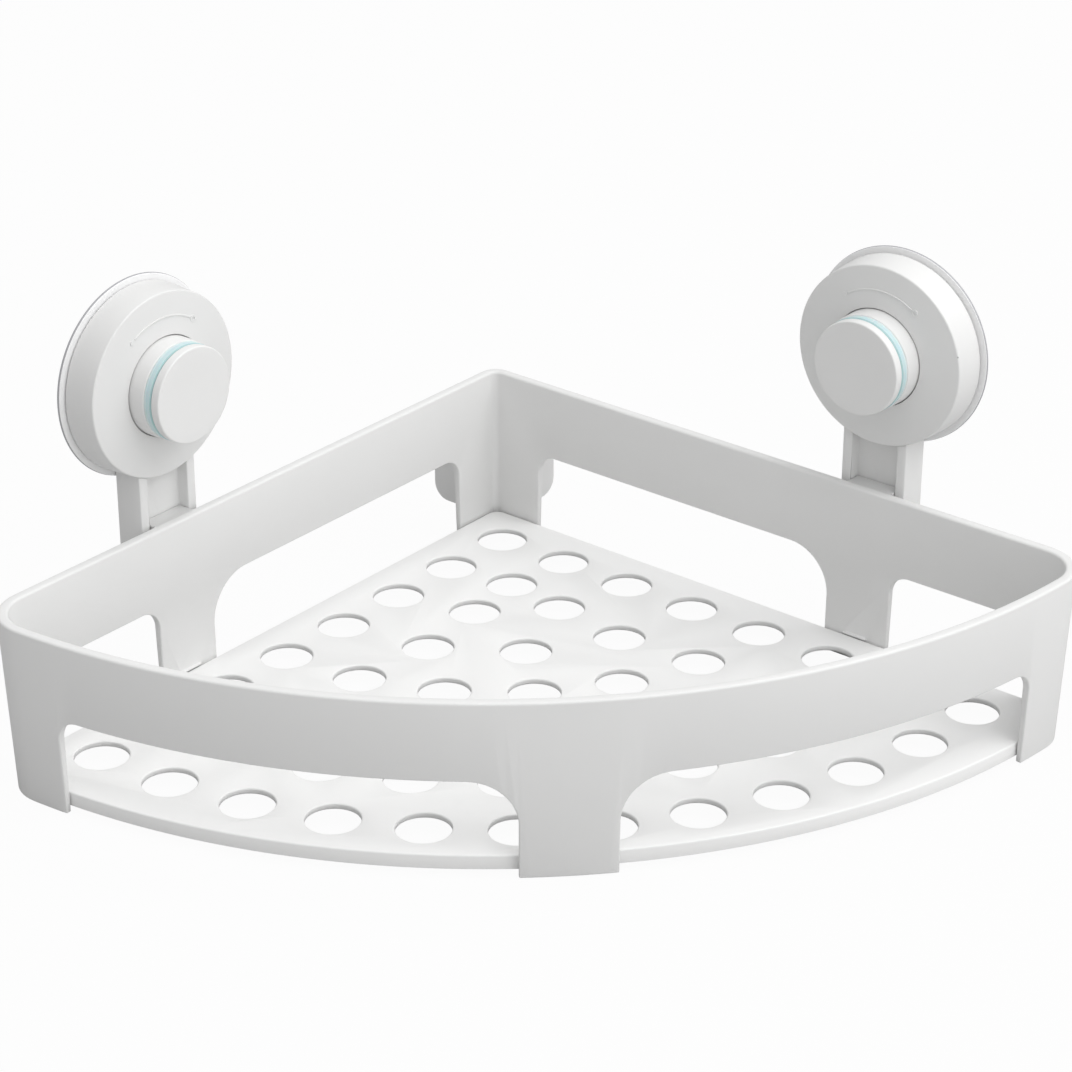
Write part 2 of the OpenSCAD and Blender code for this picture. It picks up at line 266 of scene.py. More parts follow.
def turn_on_lathe(name: str, corners: Sequence[tuple], closed: bool, steps: int = 128) -> Piece:
    """Turns a profile of (radius, height) corners about the bench's Z axis.

    Args:
        name: The new piece's name.
        corners: The profile's corners, as draw takes them.
        closed: Whether the profile is a closed loop clear of the axis.
        steps: Number of steps round.

    Returns:
        The turned piece.
    """
    piece = draw(name, corners, Plane.UPRIGHT, closed=closed).leave()
    with editing(piece):
        bpy.ops.mesh.spin(steps=steps, angle=2 * math.pi, center=(0, 0, 0), axis=(0, 0, 1))
    tidy_normals(piece)
    return piece


def sweep(name: str, corners: Sequence[tuple], start: float, stop: float, steps: int) -> Piece:
    """Sweeps a profile of (radius, height) corners part of the way about the Z axis.

    Args:
        name: The new piece's name.
        corners: The profile's corners, as draw takes them.
        start: Where the sweep starts, in degrees anticlockwise from X.
        stop: Where it ends.
        steps: Number of steps between them.

    Returns:
        The solid.
    """
    piece = draw(name, corners, Plane.UPRIGHT).leave(filled=True)
    with editing(piece):
        angle = -math.radians(stop - start)
        bpy.ops.mesh.spin(steps=steps, angle=angle, center=(0, 0, 0), axis=(0, 0, 1))
    tidy_normals(piece)
    return turned_by(piece, start)


def block(name: str, low: Sequence[float], high: Sequence[float]) -> Piece:
    """Makes a rectangular block between two corners, as a start for a piece.

    Args:
        name: The new piece's name.
        low: Lowest corner.
        high: Highest corner.

    Returns:
        The block, at the bench's origin.
    """
    corners = [(low[0], low[1]), (high[0], low[1]), (high[0], high[1]), (low[0], high[1])]
    return raise_face(draw(name, corners, Plane.FLAT, low[2]), Vector((0, 0, high[2] - low[2])))


def post(
    name: str,
    centre: Sequence[float],
    radius: float,
    span: Sequence[float],
    sides: int,
    top: float | None = None,
) -> Piece:
    """Makes a round post standing along the bench's Z axis.

    Args:
        name: The new piece's name.
        centre: Where its axis is on the bench.
        radius: Its radius.
        span: Heights of its two ends.
        sides: Number of sides.
        top: Radius of its upper end, where that differs.

    Returns:
        The post, at the bench's origin.
    """
    bpy.ops.object.select_all(action="DESELECT")
    bpy.ops.mesh.primitive_cone_add(
        vertices=sides,
        radius1=radius,
        radius2=radius if top is None else top,
        depth=span[1] - span[0],
        location=(*centre, sum(span) / 2),
    )
    piece = bpy.context.object
    piece.name = name
    bpy.ops.object.transform_apply(location=True, rotation=True, scale=True)
    return piece


def turned_by(piece: Piece, degrees: float) -> Piece:
    """Turns a piece about the bench's Z axis and returns it."""
    only(piece)
    piece.matrix_world = Matrix.Rotation(math.radians(degrees), 4, "Z") @ piece.matrix_world
    bpy.ops.object.transform_apply(location=True, rotation=True, scale=True)
    return piece


def moved(piece: Piece, shift: Sequence[float]) -> Piece:
    """Moves a piece on the bench and returns it."""
    only(piece)
    piece.location = Vector(shift)
    bpy.ops.object.transform_apply(location=True, rotation=True, scale=True)
    return piece


def join(pieces: Sequence[Piece]) -> Piece:
    """Joins pieces into the first one and returns it."""
    only(pieces[0])
    for piece in pieces[1:]:
        piece.select_set(True)
    if len(pieces) > 1:
        bpy.ops.object.join()
    return pieces[0]


def combine(piece: Piece, tool: Piece, how: str) -> Piece:
    """Cuts a tool out of a piece, or adds it on, and removes the tool.

    Args:
        piece: The piece to change.
        tool: The solid to cut or add.
        how: "DIFFERENCE" or "UNION".

    Returns:
        The changed piece.
    """
    only(piece)
    modifier = piece.modifiers.new("tool", "BOOLEAN")
    modifier.operation = how
    modifier.solver = "EXACT"
    modifier.object = tool
    bpy.ops.object.modifier_apply(modifier=modifier.name)
    bpy.data.objects.remove(tool, do_unlink=True)
    return piece


def soften(piece: Piece, width: float) -> None:
    """Rounds every sharp edge.

    Args:
        piece: The piece to round.
        width: Width of the rounding.
    """
    with editing(piece):
        bpy.ops.mesh.remove_doubles(threshold=MERGE)
        bpy.ops.mesh.dissolve_degenerate(threshold=MERGE)
    modifier = piece.modifiers.new("rounding", "BEVEL")
    modifier.width = width
    modifier.segments = 3
    modifier.limit_method = "ANGLE"
    modifier.angle_limit = SHARP
    modifier.use_clamp_overlap = False
    modifier.miter_outer = "MITER_ARC"
    bpy.ops.object.modifier_apply(modifier=modifier.name)


def smooth(piece: Piece, degrees: float = 32.0) -> None:
    """Shades a piece smooth, apart from edges sharper than an angle."""
    only(piece)
    bpy.ops.object.shade_smooth_by_angle(angle=math.radians(degrees))


def copy_of(piece: Piece, name: str) -> Piece:
    """Copies a piece with a mesh of its own and returns the copy."""
    twin = piece.copy()
    twin.data = piece.data.copy()
    twin.name = twin.data.name = name
    bpy.context.scene.collection.objects.link(twin)
    return twin


def place(piece: Piece, where: Matrix) -> None:
    """Takes a piece off the bench into the frame, with its place in its mesh.

    Args:
        piece: A piece in millimetres on the bench.
        where: The bench's place in the frame, in metres.
    """
    only(piece)
    piece.matrix_world = where @ Matrix.Scale(MM, 4)
    bpy.ops.object.transform_apply(location=True, rotation=True, scale=True)


def hand_over(piece: Piece, body: str, node: str) -> None:
    """Lets a piece ride on a body in place of a CAD node, and reports it.

    Args:
        piece: The finished piece.
        body: The CAD body it moves with.
        node: The CAD node it stands for.
    """
    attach(piece, body)
    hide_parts(node)
    log.info("%s: %d faces, rides on %s", piece.name, len(piece.data.polygons), body)


# ---- Finishes ----


def start_group(name: str, inputs: Sequence[tuple], outputs: Sequence[tuple]) -> bpy.types.NodeTree:
    """Starts a shader node group with named sockets.

    Args:
        name: The group's name.
        inputs: (socket name, socket type, default) for each input.
        outputs: (socket name, socket type) for each output.

    Returns:
        The group with its input and output nodes, named "in" and "out".
    """
    tree = bpy.data.node_groups.new(name, "ShaderNodeTree")
    for label, kind, default in inputs:
        tree.interface.new_socket(label, in_out="INPUT", socket_type=kind).default_value = default
    for label, kind in outputs:
        tree.interface.new_socket(label, in_out="OUTPUT", socket_type=kind)
    tree.nodes.new("NodeGroupInput").name = "in"
    tree.nodes.new("NodeGroupOutput").name = "out"
    return tree


def add_node(tree: bpy.types.NodeTree, kind: str, **values: object) -> bpy.types.Node:
    """Adds a node and sets its options or its inputs' defaults.

    Args:
        tree: The node tree.
        kind: The node's type name, without its "ShaderNode" start.
        **values: Options of the node, or defaults of inputs whose names
            match once spaces are taken for underscores.

    Returns:
        The new node.
    """
    node = tree.nodes.new("ShaderNode" + kind)
    for key, value in values.items():
        if hasattr(node, key):
            setattr(node, key, value)
        else:
            node.inputs[key.replace("_", " ")].default_value = value
    return node


def wire(tree: bpy.types.NodeTree, *links: tuple) -> None:
    """Links nodes, each link given as (node, output, node, input)."""
    for source, output, target, socket in links:
        tree.links.new(source.outputs[output], target.inputs[socket])


class SharedEffects:
    """Node groups that several finishes place in their own materials."""

    def __init__(self) -> None:
        """Builds each group once."""
        self.skin = self._moulded_skin()
        self.flow = self._flow_marks()
        self.specks = self._specks()

    @staticmethod
    def _moulded_skin() -> bpy.types.NodeTree:
        """Fine texture of the mould and the slow waviness of a shrunk wall.

        Returns:
            A group giving a Height for a Bump node.
        """
        tree = start_group(
            "moulded skin",
            [
                ("Grain Scale", "NodeSocketFloat", 1500.0),
                ("Wave Scale", "NodeSocketFloat", 20.0),
                ("Wave Share", "NodeSocketFloat", 3.0),
            ],
            [("Height", "NodeSocketFloat")],
        )
        group = tree.nodes["in"]
        coord = add_node(tree, "TexCoord")
        grain = add_node(tree, "TexNoise", Detail=2.0)
        wave = add_node(tree, "TexNoise", Detail=0.0)
        mix = add_node(tree, "Math", operation="MULTIPLY_ADD")
        wire(
            tree,
            (coord, "Object", grain, "Vector"),
            (coord, "Object", wave, "Vector"),
            (group, "Grain Scale", grain, "Scale"),
            (group, "Wave Scale", wave, "Scale"),
            (wave, "Fac", mix, 0),
            (group, "Wave Share", mix, 1),
            (grain, "Fac", mix, 2),
            (mix, 0, tree.nodes["out"], "Height"),
        )
        return tree

    @staticmethod
    def _flow_marks() -> bpy.types.NodeTree:
        """Faint changes of shade where the plastic flowed in the mould.

        Returns:
            A group giving a Color between its two shades, and their Mask.
        """
        tree = start_group(
            "flow marks",
            [
                ("Light", "NodeSocketColor", (1, 1, 1, 1)),
                ("Dark", "NodeSocketColor", (0.9, 0.9, 0.9, 1)),
                ("Scale", "NodeSocketFloat", 9.0),
            ],
            [("Color", "NodeSocketColor"), ("Mask", "NodeSocketFloat")],
        )
        group, out = tree.nodes["in"], tree.nodes["out"]
        coord = add_node(tree, "TexCoord")
        noise = add_node(tree, "TexNoise", Detail=3.0, Distortion=0.7)
        spread = add_node(tree, "MapRange", From_Min=0.32, From_Max=0.68)
        mix = add_node(tree, "Mix", data_type="RGBA")
        wire(
            tree,
            (coord, "Object", noise, "Vector"),
            (group, "Scale", noise, "Scale"),
            (noise, "Fac", spread, "Value"),
            (spread, "Result", mix, "Factor"),
            (group, "Light", mix, MIX_A),
            (group, "Dark", mix, MIX_B),
            (mix, MIX_RESULT, out, "Color"),
            (spread, "Result", out, "Mask"),
        )
        return tree

    @staticmethod
    def _specks() -> bpy.types.NodeTree:
        """Sparse dark specks, as in moulded plastic, laid over a colour.

        Returns:
            A group giving the Color with specks.
        """
        tree = start_group(
            "specks",
            [
                ("Color", "NodeSocketColor", (1, 1, 1, 1)),
                ("Speck", "NodeSocketColor", (0.4, 0.4, 0.4, 1)),
                ("Scale", "NodeSocketFloat", 70.0),
                ("Size", "NodeSocketFloat", 0.02),
                ("Share", "NodeSocketFloat", 0.12),
            ],
            [("Color", "NodeSocketColor")],
        )
        group, out = tree.nodes["in"], tree.nodes["out"]
        coord = add_node(tree, "TexCoord")
        cells = add_node(tree, "TexVoronoi", feature="F1")
        near = add_node(tree, "Math", operation="LESS_THAN")
        tint = add_node(tree, "SeparateColor")
        few = add_node(tree, "Math", operation="LESS_THAN")
        both = add_node(tree, "Math", operation="MULTIPLY")
        mix = add_node(tree, "Mix", data_type="RGBA")
        wire(
            tree,
            (coord, "Object", cells, "Vector"),
            (group, "Scale", cells, "Scale"),
            (cells, "Distance", near, 0),
            (group, "Size", near, 1),
            (cells, "Color", tint, "Color"),
            (tint, "Red", few, 0),
            (group, "Share", few, 1),
            (near, 0, both, 0),
            (few, 0, both, 1),
            (both, 0, mix, "Factor"),
            (group, "Color", mix, MIX_A),
            (group, "Speck", mix, MIX_B),
            (mix, MIX_RESULT, out, "Color"),
        )
        return tree


@dataclass(frozen=True)
class Finish:
    """A moulded or plated surface.

    Attributes:
        name: Material name.
        light: Linear colour at its lightest.
        dark: Linear colour in the flow marks.
        roughness: Mean roughness.
        spread: How far roughness changes over the surface.
        grain: Scale of the fine texture.
        relief: Bump distance of the texture, in metres.
        metal: Whether it is metal.
        clear: Share of light let through.
        inner: Weight of light scattered under the surface.
        specks: Whether it has moulding specks.
    """

    name: str
    light: tuple
    dark: tuple
    roughness: float
    spread: float = 0.05
    grain: float = 1500.0
    relief: float = 0.00002
    metal: bool = False
    clear: float = 0.0
    inner: float = 0.0
    specks: bool = False

    def build(self, shared: SharedEffects) -> bpy.types.Material:
        """Makes the material.

        Args:
            shared: The node groups placed in it.

        Returns:
            The finished material.
        """
        material = bpy.data.materials.new(self.name)
        material.use_nodes = True
        tree = material.node_tree
        shader = tree.nodes["Principled BSDF"]
        flow = add_node(tree, "Group", node_tree=shared.flow)
        flow.inputs["Light"].default_value = (*self.light, 1)
        flow.inputs["Dark"].default_value = (*self.dark, 1)
        skin = add_node(tree, "Group", node_tree=shared.skin)
        skin.inputs["Grain Scale"].default_value = self.grain
        bump = add_node(tree, "Bump", Strength=0.5, Distance=self.relief)
        low, high = self.roughness - self.spread, self.roughness + self.spread
        rough = add_node(tree, "MapRange", To_Min=low, To_Max=high)
        wire(
            tree,
            (skin, "Height", bump, "Height"),
            (bump, "Normal", shader, "Normal"),
            (flow, "Mask", rough, "Value"),
            (rough, "Result", shader, "Roughness"),
        )
        if self.specks:
            specks = add_node(tree, "Group", node_tree=shared.specks)
            wire(tree, (flow, "Color", specks, "Color"), (specks, "Color", shader, "Base Color"))
        else:
            wire(tree, (flow, "Color", shader, "Base Color"))
        shader.inputs["IOR"].default_value = PLASTIC_IOR
        shader.inputs["Metallic"].default_value = 1.0 if self.metal else 0.0
        shader.inputs["Transmission Weight"].default_value = self.clear
        shader.inputs["Subsurface Weight"].default_value = self.inner
        shader.inputs["Subsurface Scale"].default_value = INNER_REACH
        return material


WHITE = Finish("white moulded plastic", (0.76, 0.76, 0.755), (0.735, 0.735, 0.73), 0.42, specks=True)
# Painted light: the tray's white is a lighter copy of the basket's white, standing in for the light that
# falls on the tray
LIGHTENED_TRAY_WHITE = Finish("white tray plastic", (0.83, 0.83, 0.825), (0.81, 0.81, 0.805), 0.42, specks=True)
KNOB_WHITE = Finish("white knob plastic", (0.78, 0.78, 0.775), (0.76, 0.76, 0.755), 0.4)
PALE_TEAL = Finish("pale teal plastic", (0.67, 0.77, 0.775), (0.64, 0.75, 0.76), 0.3, inner=0.2)
TEAL = Finish("teal plastic", (0.56, 0.71, 0.735), (0.53, 0.69, 0.715), 0.3, inner=0.2)
# Painted shade: a darker teal on the ring's faces in the groove next to the cap, standing in for the
# shade there
GROOVE_SHADE_TEAL = Finish("deep teal plastic", (0.42, 0.61, 0.62), (0.39, 0.58, 0.59), 0.3)
CLEAR_PAD = Finish(
    "clear soft pad", (0.94, 0.94, 0.94), (0.91, 0.91, 0.915), 0.45, clear=0.1, relief=0.00001
)
# Painted shade: a dark finish on the pad's outermost faces, standing in for the shade seen at the clear
# pad's rim
PAD_RIM_SHADE = Finish("cut lip of the pad", (0.4, 0.4, 0.42), (0.36, 0.36, 0.38), 0.45, relief=0.00001)
STEEL = Finish(
    "zinc plated steel", (0.62, 0.62, 0.64), (0.5, 0.5, 0.53), 0.3, metal=True, grain=2600.0
)


class Finishes:
    """Builds each finish once and hands its material out."""

    def __init__(self) -> None:
        """Builds the shared node groups."""
        self.shared = SharedEffects()
        self.made: dict[str, bpy.types.Material] = {}

    def get(self, finish: Finish) -> bpy.types.Material:
        """Returns the material of a finish."""
        if finish.name not in self.made:
            self.made[finish.name] = finish.build(self.shared)
        return self.made[finish.name]

    def dress(self, piece: Piece, *finishes: Finish) -> None:
        """Puts finishes in a piece's material slots, in order."""
        slots = piece.data.materials
        for index, finish in enumerate(finishes):
            if index < len(slots):
                slots[index] = self.get(finish)
            else:
                slots.append(self.get(finish))


# ---- The basket and its tray ----


@dataclass
class Basket:
    """The quarter-round wall and the drain tray inside it, in millimetres.

    On the bench the back corner is at the origin, the left wall runs along X
    and the right wall along Y. Z is up, with the feet at 0.
    """

    finishes: Finishes
    front_r: float = 236.0
    height: float = 58.0
    rim_t: float = 3.4
    rim_edge: float = 0.85
    outer_lean: float = 2.3
    inner_lean: float = 0.8
    end_round: float = 16.0
    back_round: float = 6.0
    # Windows and the legs between them
    band_h: float = 25.6
    post_w: float = 23.0
    leg_w: float = 23.5
    front_leg_w: float = 29.0
    corner_leg_w: float = 13.4
    far_post: float = 4.0
    flare_r: float = 15.0
    small_r: float = 7.0
    window_edge: float = 0.45
    cut_low: float = -5.0
    cut_side: float = 14.0
    shy: float = 0.02
    # Blocks that the arms hook over
    holder_at: float = 154.0
    boss_side: float = 3.7
    boss_rise: float = 6.3
    boss_below_rim: float = 0.12
    boss_y: tuple = (-5.5, 1.6)
    pocket_y: tuple = (-4.1, -1.3)
    pocket_h: float = 12.3
    # Fins that keep the back corner off the tiles
    standoff: float = 13.6
    fin_at: float = 15.0
    fin_low: float = 10.0
    fin_below_rim: float = 8.0
    fin_t: float = 2.0
    fin_round: float = 6.0
    # Ledges under the tray and beads over it
    ledge_out: float = 3.0
    leg_ledge_w: float = 17.5
    bow_ledge_w: float = 21.0
    bead_out: float = 0.7
    bead_h: float = 0.9
    seat: float = 0.05
    corner_ledge_at: float = 1.8
    corner_ledge_w: float = 8.0
    # The tray and its drain holes
    tray_z: float = 6.3
    tray_t: float = 2.0
    tray_edge: float = 4.9
    tray_gap: float = 0.4
    tray_round: float = 4.0
    skirt_t: float = 1.8
    hole_r: float = 8.3
    hole_rows: int = 7
    hole_margin: float = 5.4
    first_hole: float = 21.3
    first_row_bow: float = 1.26
    hole_edge: float = 0.55

    @property
    def window_top(self) -> float:
        """Height of the windows' top edge."""
        return self.height - self.band_h

    @property
    def where(self) -> Matrix:
        """The bench's place in the frame: at the back corner, turned to the walls."""
        low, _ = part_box("basket_wall")
        corner = Vector((0.0, low[1] + self.front_r * MM, 0.0))
        return Matrix.Translation(corner) @ Matrix.Rotation(math.radians(-135), 4, "Z")

    @property
    def tray_inset(self) -> float:
        """How far inside the rim's outer edge the tray's edge lies."""
        return self.rim_t + self.inner_lean + self.tray_gap

    @property
    def end_angle(self) -> float:
        """Angle from a straight wall to the bow's end corner, in degrees."""
        return math.degrees(math.asin(self.end_round / (self.front_r - self.end_round)))

    def bow_angle(self, length: float) -> float:
        """Returns the angle that a length takes up along the bow, in degrees."""
        return math.degrees(math.asin(length / self.front_r))

    def outline(self, name: str, inset: float, end_r: float, back_r: float, z: float) -> Piece:
        """Draws the quarter-round outline as one face.

        Args:
            name: The new piece's name.
            inset: How far inside the rim's outer edge it lies.
            end_r: Radius of the front end corners.
            back_r: Radius of the back corner.
            z: Its height.

        Returns:
            The flat piece.
        """
        radius = self.front_r - inset
        near = inset + end_r
        far = math.sqrt((radius - end_r) ** 2 - near**2)
        tilt = math.degrees(math.atan2(near, far))
        pen = Pen(name, far, inset, Plane.FLAT, z)
        pen.arc(far, near, 90 + tilt, 14)
        pen.arc(0, 0, 90 - 2 * tilt, 90)
        pen.arc(near, far, 90 + tilt, 14)
        pen.line(inset, inset + back_r)
        pen.arc(inset + back_r, inset + back_r, 90, 8)
        return pen.leave(filled=True)

    def leaning_shell(self, name: str, inset: float, lean: float) -> Piece:
        """Makes one skin of the wall, which leans in from rim to foot.

        Args:
            name: The new piece's name.
            inset: How far inside the outer edge its rim lies.
            lean: How far it leans in over the wall's height.

        Returns:
            The open skin.
        """
        skin = self.outline(
            name, inset, self.end_round - inset, self.back_round - inset, self.height
        )
        with editing(skin):
            bpy.ops.mesh.normals_make_consistent(inside=False)
            bpy.ops.mesh.inset(thickness=lean, depth=-self.height * self._up_sign(skin))
            bpy.ops.mesh.delete(type="FACE")
        return skin

    @staticmethod
    def _up_sign(skin: Piece) -> float:
        """Returns 1 if the flat face in edit mode looks up, and -1 if down."""
        mesh = bmesh.from_edit_mesh(skin.data)
        mesh.faces.ensure_lookup_table()
        return 1.0 if mesh.faces[0].normal.z > 0 else -1.0

    def wall_skin(self) -> Piece:
        """Joins the two skins at rim and foot, rounds the rim and returns the whole wall."""
        wall = join(
            [
                self.leaning_shell("basket_wall_skin", 0.0, self.outer_lean),
                self.leaning_shell("inner_skin", self.rim_t, self.inner_lean),
            ]
        )
        with editing(wall):
            for z in (self.height, 0.0):
                choose("edges", lambda e: e.is_boundary and all(abs(v.co.z - z) < NEAR for v in e.verts))
                bpy.ops.mesh.bridge_edge_loops()
            bpy.ops.mesh.select_all(action="SELECT")
            bpy.ops.mesh.normals_make_consistent(inside=False)
            top = self.height - NEAR
            choose("edges", lambda e: all(v.co.z > top for v in e.verts) and e.calc_face_angle(0) > SHARP)
            bpy.ops.mesh.bevel(offset=self.rim_edge, segments=4, profile=0.5, affect="EDGES")
        return wall

    def spandrel(self, radius: float, depth: float, right: bool) -> Piece:
        """Makes the corner left standing above a rounded window corner.

        Args:
            radius: The window corner's radius.
            depth: How deep it is, centred on the wall.
            right: Whether it stands at the window's far end along X.

        Returns:
            The solid, with the window's sharp corner at the bench's origin.
        """
        side, over = (1 if right else -1), 1.0
        pen = Pen("spandrel", side * over, over, Plane.UPRIGHT, depth / 2)
        pen.line(-side * radius, over)
        pen.line(-side * radius, self.shy)
        pen.arc(-side * radius, -radius, -side * 90, 12)
        pen.line(side * over, -radius)
        return raise_face(pen, Vector((0, depth, 0)))

    def straight_window(self, low: float, high: float, low_r: float, high_r: float) -> Piece:
        """Makes the cutter of a window in the wall along X.

        Args:
            low: Its near end.
            high: Its far end.
            low_r: Corner radius at the near end.
            high_r: Corner radius at the far end.

        Returns:
            The cutter.
        """
        side = self.cut_side
        cutter = block("window_cutter", (low, -side, self.cut_low), (high, side, self.window_top))
        for at, radius, right in ((low, low_r, False), (high, high_r, True)):
            corner = moved(self.spandrel(radius, 3 * side, right), (at, 0, self.window_top))
            combine(cutter, corner, "DIFFERENCE")
        return cutter

    def front_window(self) -> Piece:
        """Makes the cutter of the front window on the far side of the bow's middle from X."""
        start = 45 + self.bow_angle(self.front_leg_w / 2)
        stop = 90 - self.end_angle - self.bow_angle(self.corner_leg_w)
        inner, outer = self.front_r - self.cut_side, self.front_r + self.cut_side
        low, top = self.cut_low, self.window_top
        corners = [(inner, low), (outer, low), (outer, top), (inner, top)]
        cutter = sweep("front_cutter", corners, start, stop, 40)
        for at, radius, right in ((start, self.flare_r, True), (stop, self.small_r, False)):
            corner = moved(self.spandrel(radius, 4 * self.cut_side, right), (0, self.front_r, top))
            combine(cutter, turned_by(corner, at - 90), "DIFFERENCE")
        return cutter

    def mirrored(self, piece: Piece) -> Piece:
        """Copies a piece across the diagonal, to the other wall, and returns the copy."""
        twin = copy_of(piece, piece.name + "_twin")
        twin.data.transform(Matrix(((0, 1, 0, 0), (1, 0, 0, 0), (0, 0, 1, 0), (0, 0, 0, 1))))
        tidy_normals(twin)
        return twin

    def boss(self) -> Piece:
        """Makes the block on the left wall that the hanger arm hooks over."""
        half = self.leg_w / 2 - self.boss_side
        start, stop = self.holder_at - half, self.holder_at + half
        low, top = self.window_top + self.boss_rise, self.height - self.boss_below_rim
        (out, into), (near, far) = self.boss_y, self.pocket_y
        solid = block("boss", (start, out, low), (stop, into, top))
        pocket = block("pocket", (start - 1, near, low - 1), (stop + 1, far, low + self.pocket_h))
        return combine(solid, pocket, "DIFFERENCE")

    def fin(self) -> Piece:
        """Makes the fin that keeps the back corner of the left wall off the tiles."""
        low, high = self.fin_low, self.height - self.fin_below_rim
        tip, centre = -self.standoff, -self.standoff + self.fin_round
        pen = Pen("fin", self.outer_lean, low, Plane.UPRIGHT)
        pen.line(centre, low)
        pen.arc(centre, low + self.fin_round, -90, 8)
        pen.line(tip, high - self.fin_round)
        pen.arc(centre, high - self.fin_round, -90, 8)
        pen.line(self.outer_lean, high)
        solid = raise_face(pen, Vector((0, self.fin_t, 0)))
        return moved(turned_by(solid, 90), (self.fin_at + self.fin_t / 2, 0, 0))

    def ledge(self, width: float, face: float) -> Piece:
        """Makes the ledge under the tray and the bead over it, for one leg.

        Args:
            width: The ledge's width along the wall.
            face: Where the leg's inner face is on the bench's Y axis.

        Returns:
            Both in one piece, centred on X = 0. The ledge points into the
            basket, which is outwards at a back wall and inwards at the bow.
        """
        into = 1.0 if face < self.front_r / 2 else -1.0
        root, tip = sorted((face - into, face + into * self.ledge_out))
        under, over = self.tray_z - self.tray_edge - self.seat, self.tray_z + self.seat
        shelf = block("ledge", (-width / 2, root, 0), (width / 2, tip, under))
        bead = block(
            "bead",
            (-width / 4, face - self.bead_out, over),
            (width / 4, face + self.bead_out, over + self.bead_h),
        )
        return join([shelf, bead])

    def ledges(self) -> list:
        """Makes the ledges of a back wall's leg, the end leg and the bow's middle leg."""
        inset = self.rim_t + self.inner_lean
        bow = self.front_r - inset
        end_at = self.end_angle + self.bow_angle(self.corner_ledge_at)
        return [
            moved(self.ledge(self.leg_ledge_w, inset), (self.holder_at, 0, 0)),
            turned_by(self.ledge(self.corner_ledge_w, bow), end_at - 90),
            turned_by(self.ledge(self.bow_ledge_w, bow), -45),
        ]

    def wall(self) -> Piece:
        """Builds the basket's wall and returns it."""
        wall = self.wall_skin()
        near, far = self.holder_at - self.leg_w / 2, self.holder_at + self.leg_w / 2
        end = self.front_r - self.end_round - self.far_post
        cutters = [
            self.straight_window(self.post_w, near, self.small_r, self.flare_r),
            self.straight_window(far, end, self.small_r, self.small_r),
            self.front_window(),
        ]
        leg, end, middle = self.ledges()
        extras = [self.boss(), self.fin(), leg, end]
        for how, tools in (("DIFFERENCE", cutters), ("UNION", extras)):
            for tool in tools:
                combine(wall, self.mirrored(tool), how)
                combine(wall, tool, how)
        combine(wall, middle, "UNION")
        soften(wall, self.window_edge)
        wall.name = wall.data.name = "basket_wall_moulding"
        return wall

    def hole_places(self) -> list:
        """Works out the drain holes' centres.

        Returns:
            (x, y) of each hole: arcs about the first one, the same pitch apart.
        """
        first = self.first_hole
        last_row = self.front_r - self.tray_inset - self.hole_margin - self.hole_r
        pitch = (last_row - math.hypot(first, first)) / self.hole_rows
        places = [(first, first)]
        for row in range(1, self.hole_rows + 1):
            gaps = max(2, math.floor(row * math.pi / 2 + NEAR))
            for i in range(gaps + 1):
                angle = math.radians(90 * i / gaps)
                bow = self.first_row_bow if row == 1 and i == 1 else 1.0
                far = row * pitch * bow
                places.append((first + far * math.cos(angle), first + far * math.sin(angle)))
        return places

    def tray(self) -> Piece:
        """Builds the drain tray and returns it."""
        end_r = self.end_round - self.rim_t - self.inner_lean - self.tray_gap
        tray = self.outline(
            "drain_tray_moulding", self.tray_inset, end_r, self.tray_round, self.tray_z
        )
        with editing(tray):
            pull(0, 0, -self.tray_edge)
        tidy_normals(tray)
        with editing(tray):
            choose("faces", lambda f: f.normal.z < -FACING)
            bpy.ops.mesh.inset(thickness=self.skirt_t, depth=0.0)
            bpy.ops.transform.translate(value=(0, 0, self.tray_edge - self.tray_t))
        through = (0.0, self.tray_z + 2)
        drills = [post("drill", at, self.hole_r, through, 56) for at in self.hole_places()]
        combine(tray, join(drills), "DIFFERENCE")
        soften(tray, self.hole_edge)
        return tray

    def build(self) -> None:
        """Builds the wall and the tray, and puts them in the frame."""
        # The tray takes the lighter copy of the white plastic, painted light on the tray
        for piece, finish, node, slot in (
            (self.wall(), WHITE, "basket_wall", "basket_plastic"),
            (self.tray(), LIGHTENED_TRAY_WHITE, "drain_tray", "tray_plastic"),
        ):
            tidy_normals(piece)
            smooth(piece)
            self.finishes.dress(piece, finish)
            place(piece, self.where)
            hand_over(piece, "basket", node)


# ---- The suction holders ----


